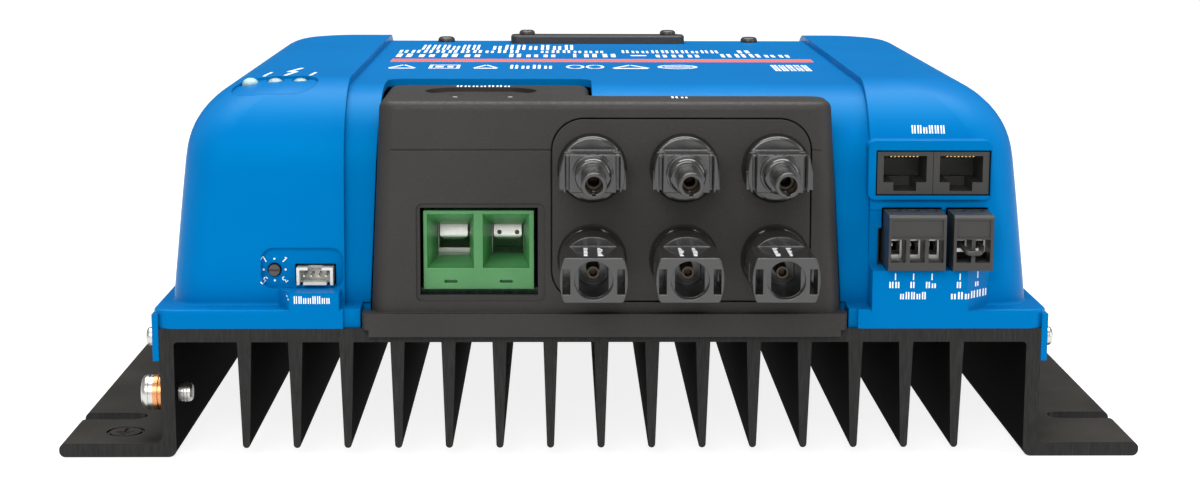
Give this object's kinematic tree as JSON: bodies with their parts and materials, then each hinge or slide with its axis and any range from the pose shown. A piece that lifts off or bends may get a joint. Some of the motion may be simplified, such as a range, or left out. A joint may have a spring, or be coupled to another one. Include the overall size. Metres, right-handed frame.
{
  "type": "solar charge controller",
  "caption": "Wall-mounted solar charge controller: finned heat sink with slotted flanges, rounded cover, screw terminals, panel connectors and data sockets.",
  "frame": {"origin": "centre of the four mounting slots, in the wall plane under the flanges", "axes": "+Z out of the wall, +X to the right when the connector end is seen with the wall below, connectors at -Y"},
  "size_m": [0.295, 0.246, 0.103],
  "materials": {
    "black_anodised": "satin black anodised extrusion",
    "blue_shell": "satin, finely grained",
    "black_shell": "satin, finely grained",
    "connector_black": "semi-gloss moulded",
    "dark_plastic": "satin moulded",
    "dial_plastic": "satin moulded",
    "green_plastic": "satin moulded",
    "white_nylon": "moulded",
    "lamp_lens": "frosted clear",
    "seal_rubber": "smooth",
    "nickel_cage": "nickel plated",
    "tinned_contact": "tin plated",
    "gold_contact": "gold plated",
    "steel_screw": "zinc plated",
    "black_screw": "black oxide",
    "copper_washer": "bare copper",
    "brass_spacer": "turned",
    "link_wire": "satin insulation",
    "circuit_board": "solder mask",
    "capacitor_can": "sleeved can",
    "core_powder": "coated core",
    "copper_wire": "enamelled",
    "chip_plastic": "moulded"
  },
  "bodies": {
    "enclosure": {"battery_bars": "tinned_contact", "battery_block": "green_plastic", "board_screws": "steel_screw", "board_spacers": "brass_spacer", "capacitors": "capacitor_can", "cover": "blue_shell", "cover_screws": "steel_screw", "data_jacks": "dark_plastic", "data_port": "white_nylon", "data_port_pins": "tinned_contact", "display_socket": "dark_plastic", "display_strip": "dark_plastic", "earth_screw": "steel_screw", "earth_spring_washer": "steel_screw", "earth_washer": "copper_washer", "header_pins": "tinned_contact", "heat_sink": "black_anodised", "inductor_cores": "core_powder", "inductor_windings": "copper_wire", "jack_contacts": "gold_contact", "light_pipes": "lamp_lens", "mosfet_clamp": "steel_screw", "mosfets": "chip_plastic", "power_board": "circuit_board", "pv_contacts": "tinned_contact", "pv_nose_1": "connector_black", "pv_nose_2": "connector_black", "pv_nose_3": "connector_black", "pv_nuts": "connector_black", "pv_panel": "black_shell", "pv_seals": "seal_rubber", "pv_sleeve_1": "connector_black", "pv_sleeve_2": "connector_black", "pv_sleeve_3": "connector_black", "relay_header": "dark_plastic", "remote_header": "dark_plastic", "rotary_switch_body": "dark_plastic", "signal_boards": "circuit_board", "terminal_cover": "black_shell", "top_screws": "black_screw"},
    "switch_dial": {"rotary_switch_dial": "dial_plastic"},
    "battery_clamp_cage_1": {"battery_cage_1": "nickel_cage"},
    "battery_clamp_screw_1": {"battery_screw_1": "steel_screw"},
    "battery_clamp_cage_2": {"battery_cage_2": "nickel_cage"},
    "battery_clamp_screw_2": {"battery_screw_2": "steel_screw"},
    "relay_plug_body": {"relay_plug": "dark_plastic", "relay_bars": "tinned_contact"},
    "relay_clamp_cage_1": {"relay_cage_1": "nickel_cage"},
    "relay_clamp_screw_1": {"relay_screw_1": "steel_screw"},
    "relay_clamp_cage_2": {"relay_cage_2": "nickel_cage"},
    "relay_clamp_screw_2": {"relay_screw_2": "steel_screw"},
    "relay_clamp_cage_3": {"relay_cage_3": "nickel_cage"},
    "relay_clamp_screw_3": {"relay_screw_3": "steel_screw"},
    "remote_plug_body": {"remote_plug": "dark_plastic", "remote_bars": "tinned_contact", "wire_link": "link_wire"},
    "remote_clamp_cage_1": {"remote_cage_1": "nickel_cage"},
    "remote_clamp_screw_1": {"remote_screw_1": "steel_screw"},
    "remote_clamp_cage_2": {"remote_cage_2": "nickel_cage"},
    "remote_clamp_screw_2": {"remote_screw_2": "steel_screw"}
  },
  "joints": [
    {"name": "switch_turn", "type": "hinge", "parent": "enclosure", "child": "switch_dial", "pos_m": [-0.089, -0.096, 0.0504], "axis": [0, 1, 0], "continuous": true},
    {"name": "battery_cage_lift_1", "type": "slide", "parent": "enclosure", "child": "battery_clamp_cage_1", "axis": [0, 0, 1], "range_m": [-0.0016, 0.0034]},
    {"name": "battery_screw_turn_1", "type": "hinge", "parent": "enclosure", "child": "battery_clamp_screw_1", "pos_m": [-0.0408, -0.077, 0.07], "axis": [0, 0, 1], "range_deg": [-1232, 584]},
    {"name": "battery_cage_lift_2", "type": "slide", "parent": "enclosure", "child": "battery_clamp_cage_2", "axis": [0, 0, 1], "range_m": [0, 0.005]},
    {"name": "battery_screw_turn_2", "type": "hinge", "parent": "enclosure", "child": "battery_clamp_screw_2", "pos_m": [-0.0258, -0.077, 0.07], "axis": [0, 0, 1], "range_deg": [-1808, 0]},
    {"name": "relay_plug_pull", "type": "slide", "parent": "enclosure", "child": "relay_plug_body", "axis": [0, -1, 0], "range_m": [0, 0.014]},
    {"name": "relay_cage_lift_1", "type": "slide", "parent": "relay_plug_body", "child": "relay_clamp_cage_1", "axis": [0, 0, 1], "range_m": [0, 0.0018]},
    {"name": "relay_screw_turn_1", "type": "hinge", "parent": "relay_plug_body", "child": "relay_clamp_screw_1", "pos_m": [0.07957, -0.1023, 0.063], "axis": [0, 0, 1], "range_deg": [-1448, 0]},
    {"name": "relay_cage_lift_2", "type": "slide", "parent": "relay_plug_body", "child": "relay_clamp_cage_2", "axis": [0, 0, 1], "range_m": [0, 0.0018]},
    {"name": "relay_screw_turn_2", "type": "hinge", "parent": "relay_plug_body", "child": "relay_clamp_screw_2", "pos_m": [0.08465, -0.1023, 0.063], "axis": [0, 0, 1], "range_deg": [-1448, 0]},
    {"name": "relay_cage_lift_3", "type": "slide", "parent": "relay_plug_body", "child": "relay_clamp_cage_3", "axis": [0, 0, 1], "range_m": [0, 0.0018]},
    {"name": "relay_screw_turn_3", "type": "hinge", "parent": "relay_plug_body", "child": "relay_clamp_screw_3", "pos_m": [0.08973, -0.1023, 0.063], "axis": [0, 0, 1], "range_deg": [-1448, 0]},
    {"name": "remote_plug_pull", "type": "slide", "parent": "enclosure", "child": "remote_plug_body", "axis": [0, -1, 0], "range_m": [0, 0.014]},
    {"name": "remote_cage_lift_1", "type": "slide", "parent": "remote_plug_body", "child": "remote_clamp_cage_1", "axis": [0, 0, 1], "range_m": [-0.0018, 0]},
    {"name": "remote_screw_turn_1", "type": "hinge", "parent": "remote_plug_body", "child": "remote_clamp_screw_1", "pos_m": [0.09721, -0.1023, 0.063], "axis": [0, 0, 1], "range_deg": [0, 1448]},
    {"name": "remote_cage_lift_2", "type": "slide", "parent": "remote_plug_body", "child": "remote_clamp_cage_2", "axis": [0, 0, 1], "range_m": [-0.0018, 0]},
    {"name": "remote_screw_turn_2", "type": "hinge", "parent": "remote_plug_body", "child": "remote_clamp_screw_2", "pos_m": [0.10229, -0.1023, 0.063], "axis": [0, 0, 1], "range_deg": [0, 1448]}
  ],
  "couplings": [
    {"joint": "battery_screw_turn_1", "follows": "battery_cage_lift_1", "rad_per_m": -6283.2},
    {"joint": "battery_screw_turn_2", "follows": "battery_cage_lift_2", "rad_per_m": -6283.2},
    {"joint": "relay_screw_turn_1", "follows": "relay_cage_lift_1", "rad_per_m": -13963},
    {"joint": "relay_screw_turn_2", "follows": "relay_cage_lift_2", "rad_per_m": -13963},
    {"joint": "relay_screw_turn_3", "follows": "relay_cage_lift_3", "rad_per_m": -13963},
    {"joint": "remote_screw_turn_1", "follows": "remote_cage_lift_1", "rad_per_m": -13963},
    {"joint": "remote_screw_turn_2", "follows": "remote_cage_lift_2", "rad_per_m": -13963}
  ]
}
